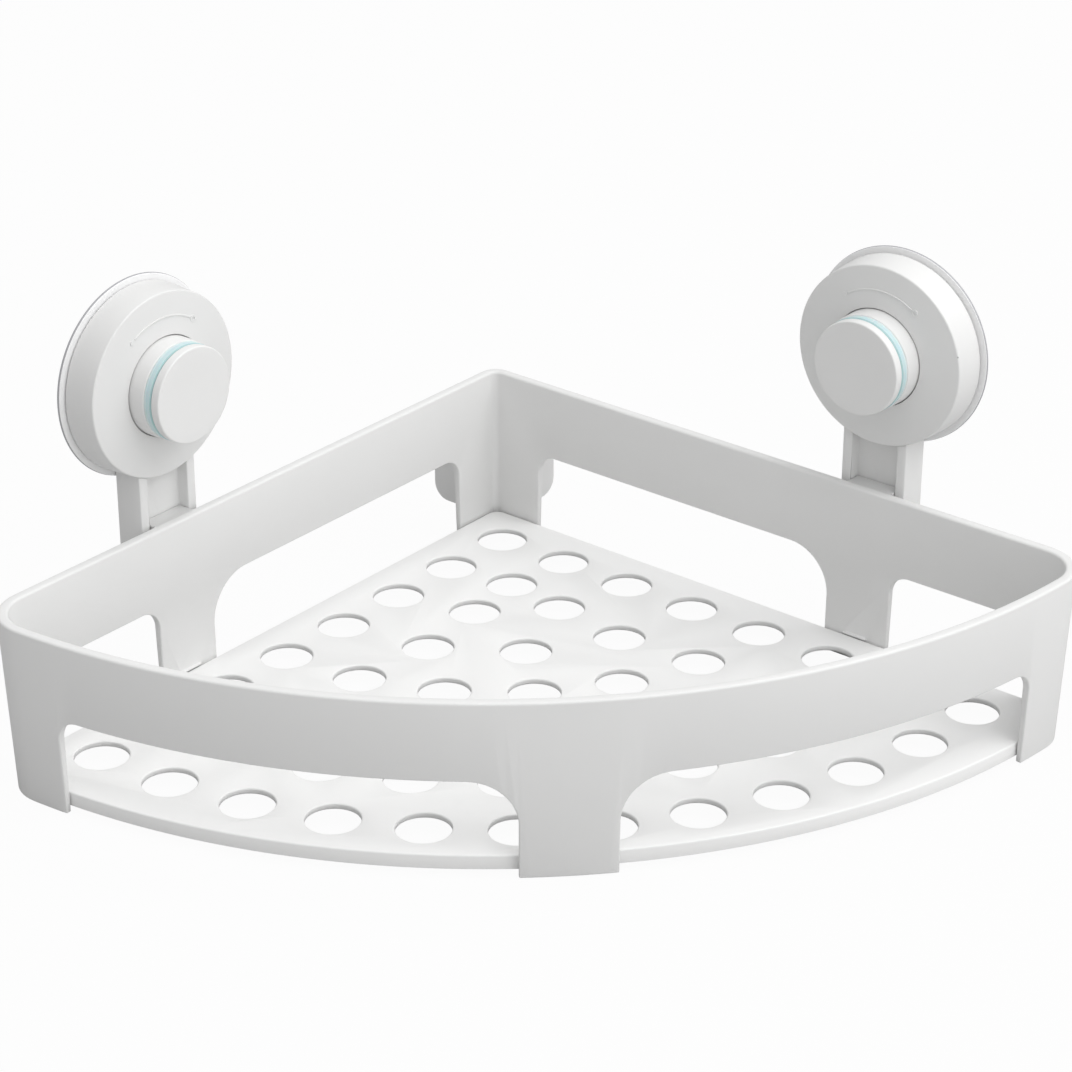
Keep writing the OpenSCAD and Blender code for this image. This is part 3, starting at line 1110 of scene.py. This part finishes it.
@dataclass
class Holder:
    """The twist-lock suction holder's pieces, in millimetres.

    On the bench the knob turns about Z, which points out of the tiles into
    the room, Y is up and the tiles are at Z = 0.
    """

    finishes: Finishes
    # Pad
    pad_r: float = 32.0
    pad_top: float = 6.6
    boss_r: float = 6.4
    bore_r: float = 3.08
    bore_w: float = 3.4
    # Width of the pad's outer band that is painted dark as the shade at its rim
    rim_shade_w: float = 0.2
    # Housing, its crowned face and the turning mark on it
    housing_r: float = 30.0
    housing_w0: float = 1.7
    shell_t: float = 2.2
    roof_w: float = 9.8
    roof_round: float = 1.0
    back_edge: float = 0.3
    face_r: float = 29.4
    face_w: float = 12.8
    face_edge: float = 0.6
    crown_w: float = 14.1
    well_r: float = 15.95
    well_w: float = 11.9
    well_edge: float = 0.25
    mark_r: float = 21.8
    mark_half: float = 32.0
    mark_end: float = 35.5
    mark_half_w: float = 0.28
    mark_up: float = 0.24
    mark_sink: float = 0.3
    mark_edge: float = 0.12
    dot_r: float = 0.8
    loop_r: float = 1.15
    loop_hole_r: float = 0.6
    loop_depth: float = 0.25
    # Knob: collar, ring and cap
    collar_w0: float = 12.25
    collar_w1: float = 19.7
    collar_r: float = 15.7
    collar_lip: float = 0.35
    lip_r: float = 12.4
    nut_r: float = 13.95
    nut_w1: float = 17.55
    ring_w1: float = 22.4
    ring_out: float = 0.1
    groove_t: float = 0.18
    # Width of the band next to the cap, cut as a groove and painted darker teal as its shade
    groove_shade_w: float = 0.4
    pale_w: float = 0.75
    cap_w0: float = 22.55
    cap_w1: float = 25.6
    cap_r: float = 15.2
    cap_edge: float = 0.5
    cap_roof: float = 1.8
    skirt_t: float = 1.2
    nut_gap: float = 0.15
    seat: float = 0.05
    # Hanger arm, its tongue and its screws
    arm_half: float = 11.75
    rib_t: float = 3.4
    web_w0: float = 5.6
    web_w1: float = 7.8
    arm_w0: float = 1.6
    arm_w1: float = 12.0
    arm_low: float = -66.4
    arm_under_face: float = 8.0
    arm_edge: float = 0.4
    shelf_t: float = 2.4
    catch_t: float = 2.2
    catch_h: float = 12.0
    bite: float = 0.5
    way_gap: float = 0.16
    way_face_gap: float = 0.06
    tongue_half: float = 9.0
    tongue_past_screws: float = 4.0
    tongue_step: float = 0.6
    tongue_gap: float = 0.3
    screw_x: float = 6.0
    screw_y: float = -20.0
    slot_reach: float = 6.0
    pillar_r: float = 2.6
    pillar_sink: float = 0.3
    pilot_r: float = 1.25
    pilot_sink: float = 1.7
    screw_way_r: float = 1.35
    shy: float = 0.02

    def pad(self) -> Piece:
        """Makes the soft pad: a shallow dome with a thin sealing rim, its outermost faces painted dark as
        the shade seen at the clear rim.
        """
        r = self.pad_r
        pad = turn_on_lathe(
            "pad",
            [
                (0, 3), (12, 2.2, 20), (r - 6, 0.3, 3), (r - 4.5, 0), (r - 0.35, 0, 0.3),
                (r, 0.45, 0.3), (r - 0.3, 1.15, 0.35), (28, 1.35, 2), (24, 1.9, 6),
                (14, 4, 6), (self.boss_r, 4.6, 1.2), (self.boss_r, self.pad_top, 0.4), (0, self.pad_top),
            ],
            closed=False,
        )
        stud_hole = post("stud_hole", (0, 0), self.bore_r, (self.bore_w, self.pad_top + 1), 48)
        combine(pad, stud_hole, "DIFFERENCE")
        tidy_normals(pad)
        smooth(pad, 40)
        # The outermost band of faces takes the second finish, painted shade at the clear rim
        for face in pad.data.polygons:
            face.material_index = int(math.hypot(*face.center[:2]) > r - self.rim_shade_w)
        return pad

    def housing(self) -> Piece:
        """Makes the round housing with its crowned face, the knob's well and the mark."""
        inner, back = self.face_r - self.shell_t, self.housing_r - self.shell_t
        housing = turn_on_lathe(
            "housing",
            [
                (self.bore_r, self.roof_w), (inner, self.roof_w, self.roof_round),
                (back, self.housing_w0 + self.back_edge), (back + self.back_edge, self.housing_w0),
                (self.housing_r, self.housing_w0, 0.4),
                (self.face_r, self.face_w, self.face_edge),
                (self.well_r, self.crown_w, self.well_edge), (self.well_r, self.well_w),
                (self.bore_r, self.well_w),
            ],
            closed=True,
            steps=160,
        )
        gap, reach = self.tongue_gap, self.slot_reach
        half, low, high = self.tongue_half + gap, -self.housing_r - 2, -self.housing_r + reach
        slot = block("slot", (-half, low, self.web_w0 - gap), (half, high, self.web_w1 + gap))
        combine(housing, slot, "DIFFERENCE")
        pillar = (self.web_w1 + self.seat, self.roof_w + self.pillar_sink)
        pilot = (self.web_w1 - 1, self.roof_w + self.pilot_sink)
        for x in (-self.screw_x, self.screw_x):
            at = (x, self.screw_y)
            combine(housing, post("pillar", at, self.pillar_r, pillar, 32), "UNION")
            combine(housing, post("pilot", at, self.pilot_r, pilot, 24), "DIFFERENCE")
        for mark in self.marks():
            combine(housing, mark, "UNION")
        tidy_normals(housing)
        smooth(housing, 28)
        return housing

    def marks(self) -> list:
        """Makes the raised arc over the knob, with a dot and a ring at its ends."""
        rise = (self.face_r - self.mark_r) / (self.face_r - self.well_r)
        face = self.face_w + (self.crown_w - self.face_w) * rise
        top, low = face + self.mark_up, face - self.mark_sink
        near, far, edge = self.mark_r - self.mark_half_w, self.mark_r + self.mark_half_w, self.mark_edge
        profile = [(near, low), (far, low), (far, top, edge), (near, top, edge)]
        arc = sweep("mark_arc", profile, 90 - self.mark_half, 90 + self.mark_half, 32)
        at, tall = (0, self.mark_r), (low, top)
        dot = turned_by(post("dot", at, self.dot_r, tall, 24), self.mark_end)
        loop = post("loop", at, self.loop_r, tall, 24)
        hole = post("hole", at, self.loop_hole_r, (top - self.loop_depth, top + 1), 24)
        combine(loop, hole, "DIFFERENCE")
        return [arc, dot, turned_by(loop, -self.mark_end)]

    def collar(self) -> Piece:
        """Makes the knob's collar, a tapered sleeve."""
        top_r = self.cap_r + self.collar_lip
        collar = turn_on_lathe(
            "collar",
            [
                (self.nut_r, self.collar_w0), (self.collar_r, self.collar_w0, 0.35),
                (top_r, self.collar_w1, 0.45), (self.lip_r, self.collar_w1),
                (self.lip_r, self.nut_w1), (self.nut_r, self.nut_w1),
            ],
            closed=True,
        )
        smooth(collar)
        return collar

    def ring(self) -> Piece:
        """Makes the teal ring in three colours; the darkest, a line in the groove next to the cap, is
        painted shade.
        """
        low, top, outer = self.collar_w1 + self.seat, self.ring_w1, self.cap_r + self.ring_out
        pale_to, groove_shade_from, groove = low + self.pale_w, top - self.groove_shade_w, outer - self.groove_t
        ring = turn_on_lathe(
            "ring",
            [
                (self.lip_r, low), (outer, low, 0.2), (outer, pale_to), (outer, groove_shade_from, 0.1),
                (groove, groove_shade_from + 0.06, 0.05), (groove, top, 0.1), (self.lip_r, top),
            ],
            closed=True,
        )
        smooth(ring)
        # Faces in the groove next to the cap take the darkest teal, painted shade in the groove
        for face in ring.data.polygons:
            face.material_index = sum(face.center.z >= level for level in (pale_to, groove_shade_from))
        return ring

    def cap(self) -> Piece:
        """Makes the knob's cap, a flat button with a rounded edge and a skirt."""
        skirt, hollow = self.lip_r - self.seat, self.lip_r - self.seat - self.skirt_t
        foot, under = self.nut_w1 + self.nut_gap, self.cap_w1 - self.cap_roof
        cap = turn_on_lathe(
            "cap",
            [
                (0, under), (hollow, under), (hollow, foot), (skirt, foot),
                (skirt, self.cap_w0), (self.cap_r, self.cap_w0, 0.35),
                (self.cap_r, self.cap_w1, self.cap_edge), (self.cap_r - 3, self.cap_w1),
                (0, self.cap_w1),
            ],
            closed=False,
        )
        smooth(cap, 25)
        return cap

    def arm_bars(self) -> Piece:
        """Makes the arm's H section: a web between two ribs."""
        inner = self.arm_half - self.rib_t
        top = self.arm_under_face - self.face_r
        arm = block("arm", (-inner, self.arm_low, self.web_w0), (inner, top, self.web_w1))
        with editing(arm):
            for side in (-1, 1):
                choose("faces", lambda f: f.normal.x * side > FACING)
                pull(side * self.rib_t, 0, 0)
            for side, end, web in ((1, self.arm_w1, self.web_w1), (-1, self.arm_w0, self.web_w0)):
                for rib in (-1, 1):
                    choose(
                        "faces",
                        lambda f: f.normal.z * side > FACING
                        and f.calc_center_median().x * rib > inner
                        and abs(f.calc_center_median().z - web) < NEAR,
                    )
                    pull(0, 0, end - web)
        tidy_normals(arm)
        return arm

    def arm(self) -> Piece:
        """Makes the hanger arm: two ribs and a web, a hook below and a tongue above."""
        arm = self.arm_bars()
        half, shy = self.arm_half - self.rib_t + self.bite, self.shy
        foot, shelf_top, front = self.arm_low, self.arm_low + self.shelf_t, self.arm_w1
        hook = (
            block("shelf", (-half, foot, self.web_w0 + self.bite), (half, shelf_top, front - shy / 2)),
            block(
                "catch",
                (-half, foot + shy, front - self.catch_t),
                (half, shelf_top + self.catch_h, front - shy),
            ),
        )
        for part in hook:
            combine(arm, part, "UNION")
        wide, narrow = self.housing_r + self.way_gap, self.face_r + self.way_face_gap
        way = post("housing_way", (0, 0), wide, (0, self.face_w), 160, top=narrow)
        combine(arm, way, "DIFFERENCE")
        side, low, high = self.tongue_half, self.housing_r + self.tongue_step, self.screw_y
        under, over = self.web_w0 + shy, self.web_w1 - shy
        tongue = block("tongue", (-side, -low, under), (side, high + self.tongue_past_screws, over))
        for x in (-self.screw_x, self.screw_x):
            drill = post("drill", (x, self.screw_y), self.screw_way_r, (0, 20), 24)
            combine(tongue, drill, "DIFFERENCE")
        combine(arm, tongue, "UNION")
        soften(arm, self.arm_edge)
        tidy_normals(arm)
        smooth(arm)
        return arm

    def dressed(self) -> list:
        """Models every piece once.

        Returns:
            (bench piece, CAD node's name after the side, body after the side, slot) for each.
        """
        # The pad's second finish paints the shade at its clear rim, and the ring's darkest teal paints
        # the shade in its groove
        pieces = [
            (self.pad(), "suction_pad", "pad", "clear_soft_plastic", (CLEAR_PAD, PAD_RIM_SHADE)),
            (self.housing(), "pressure_housing", "holder", "white_plastic", (WHITE,)),
            (self.arm(), "hanger_arm", "holder", "white_plastic", (WHITE,)),
            (self.collar(), "knob_collar", "knob", "white_plastic", (KNOB_WHITE,)),
            (self.ring(), "indicator_ring", "knob", "teal_plastic", (PALE_TEAL, TEAL, GROOVE_SHADE_TEAL)),
            (self.cap(), "knob_cap", "knob", "white_plastic", (KNOB_WHITE,)),
        ]
        for piece, _, _, _, finishes in pieces:
            self.finishes.dress(piece, *finishes)
        return [row[:4] for row in pieces]

    @staticmethod
    def where(side: Side) -> Matrix:
        """Finds a holder's place from its knob's hinge.

        Args:
            side: The wall it hangs on.

        Returns:
            The bench's place in the frame.
        """
        joints = frame["record"]["behaviour"]["joints"]
        hinge = next(j for j in joints if j["name"] == side.value + "_knob_turn")
        out = Vector(hinge["axis"]).normalized()
        up = Vector((0, 0, 1))
        turn = Matrix((up.cross(out), up, out)).transposed().to_4x4()
        return Matrix.Translation(Vector(hinge["pos_m"])) @ turn

    def build(self) -> None:
        """Builds both holders from one set of pieces."""
        for pattern, node, body, slot in self.dressed():
            for side in Side:
                piece = copy_of(pattern, f"{side.value}_{node}_moulding")
                place(piece, self.where(side))
                hand_over(piece, f"{side.value}_{body}", f"{side.value}_{node}")
            bpy.data.objects.remove(pattern, do_unlink=True)
        self.dress_inner_pieces()

    def dress_inner_pieces(self) -> None:
        """Gives the pieces inside the holders, which keep their CAD mesh, their finishes."""
        inner = {"pad_stud": WHITE, "arm_screws": STEEL, "thrust_washer": STEEL, "drive_nut": WHITE}
        for side in Side:
            for name, finish in inner.items():
                node = frame["nodes"][f"{side.value}_{name}"]
                self.finishes.dress(node, finish)
                log.info("%s: keeps its CAD mesh", node.name)


# ---- The studio ----


@dataclass
class Studio:
    """Floor, lights and camera, in metres."""

    eye: tuple = (-0.08643, -0.84908, 0.4728)
    lens_mm: float = 103.24
    sensor_mm: float = 36.0
    yaw_deg: float = 6.201
    pitch_deg: float = 25.941
    roll_deg: float = -0.182
    shift: tuple = (-0.0103, -0.01847)
    horizon: float = 0.46
    brighter_to: tuple = (0.12, -0.08, 0.45)
    floor_size: float = 12.0
    floor_z: float = -0.0004
    floor_shade: float = 0.5
    floor_glow: float = 0.96
    lit_at: tuple = (0.0, 0.0, 0.05)
    key: tuple = ((0.85, -0.42, 1.75), 2.0, 22.8)
    right_fill: tuple = ((0.85, -0.95, 0.2), 0.7, 2.9)

    @staticmethod
    def hang(data: bpy.types.ID) -> Piece:
        """Puts a camera or a lamp in the scene and returns it."""
        held = bpy.data.objects.new(data.name, data)
        bpy.context.scene.collection.objects.link(held)
        return held

    def camera(self) -> None:
        """Places the camera."""
        data = bpy.data.cameras.new("camera")
        data.lens = self.lens_mm
        data.sensor_width = self.sensor_mm
        data.sensor_fit = "HORIZONTAL"
        data.shift_x, data.shift_y = self.shift
        data.clip_start, data.clip_end = 0.05, 50.0
        camera = self.hang(data)
        yaw, pitch, roll = (math.radians(a) for a in (self.yaw_deg, self.pitch_deg, self.roll_deg))
        level = Vector((math.cos(yaw), -math.sin(yaw), 0.0))
        onward = Vector((math.sin(yaw), math.cos(yaw), 0.0))
        ahead = math.cos(pitch) * onward - math.sin(pitch) * Vector((0, 0, 1))
        down = ahead.cross(level)
        right = math.cos(roll) * level + math.sin(roll) * down
        down = math.cos(roll) * down - math.sin(roll) * level
        turn = Matrix((right, -down, -ahead)).transposed().to_4x4()
        camera.matrix_world = Matrix.Translation(Vector(self.eye)) @ turn
        bpy.context.scene.camera = camera

    def floor(self) -> None:
        """Lays a plain pale floor, lit from within so that it stays near white."""
        bpy.ops.object.select_all(action="DESELECT")
        bpy.ops.mesh.primitive_plane_add(size=self.floor_size, location=(0, 0, self.floor_z))
        floor = bpy.context.object
        floor.name = "floor"
        material = bpy.data.materials.new("pale floor")
        material.use_nodes = True
        tree = material.node_tree
        matt = tree.nodes["Principled BSDF"]
        matt.inputs["Base Color"].default_value = (*[self.floor_shade] * 3, 1)
        matt.inputs["Roughness"].default_value = 0.9
        glow = add_node(tree, "Emission", Strength=1.0)
        path = add_node(tree, "LightPath")
        share = add_node(tree, "Math", operation="MULTIPLY")
        share.inputs[1].default_value = self.floor_glow
        mix = add_node(tree, "MixShader")
        wire(
            tree,
            (path, "Is Camera Ray", share, 0),
            (share, 0, mix, "Fac"),
            (matt, "BSDF", mix, 1),
            (glow, "Emission", mix, 2),
            (mix, "Shader", tree.nodes["Material Output"], "Surface"),
        )
        floor.data.materials.append(material)

    def sky(self) -> None:
        """Fills the room with even light, a little stronger towards one direction."""
        world = bpy.context.scene.world or bpy.data.worlds.new("world")
        bpy.context.scene.world = world
        world.use_nodes = True
        tree = world.node_tree
        back = tree.nodes["Background"]
        back.inputs["Color"].default_value = (1, 1, 1, 1)
        coord = add_node(tree, "TexCoord")
        rise = add_node(tree, "VectorMath", operation="DOT_PRODUCT")
        rise.inputs[1].default_value = self.brighter_to
        level = add_node(tree, "Math", operation="ADD")
        level.inputs[1].default_value = self.horizon
        wire(
            tree,
            (coord, "Generated", rise, 0),
            (rise, "Value", level, 0),
            (level, 0, back, "Strength"),
        )

    def lamp(self, name: str, place_at: tuple, size: float, power: float) -> None:
        """Hangs a soft square lamp that looks at the object.

        Args:
            name: The lamp's name.
            place_at: Where it hangs.
            size: Its side.
            power: Its power in watts.
        """
        data = bpy.data.lights.new(name, "AREA")
        data.shape = "SQUARE"
        data.size = size
        data.energy = power
        lamp = self.hang(data)
        lamp.location = place_at
        aim = Vector(self.lit_at) - Vector(place_at)
        lamp.rotation_euler = aim.to_track_quat("-Z", "Y").to_euler()

    def build(self) -> None:
        """Builds the whole studio."""
        self.floor()
        self.sky()
        self.lamp("key", *self.key)
        self.lamp("right fill", *self.right_fill)
        self.camera()
        bpy.context.scene.view_settings.view_transform = "Standard"


def main() -> None:
    """Builds every piece in order."""
    logging.basicConfig(level=logging.INFO, format="%(message)s")
    finishes = Finishes()
    Studio().build()
    Basket(finishes).build()
    Holder(finishes).build()


if __name__ == "__main__":
    main()
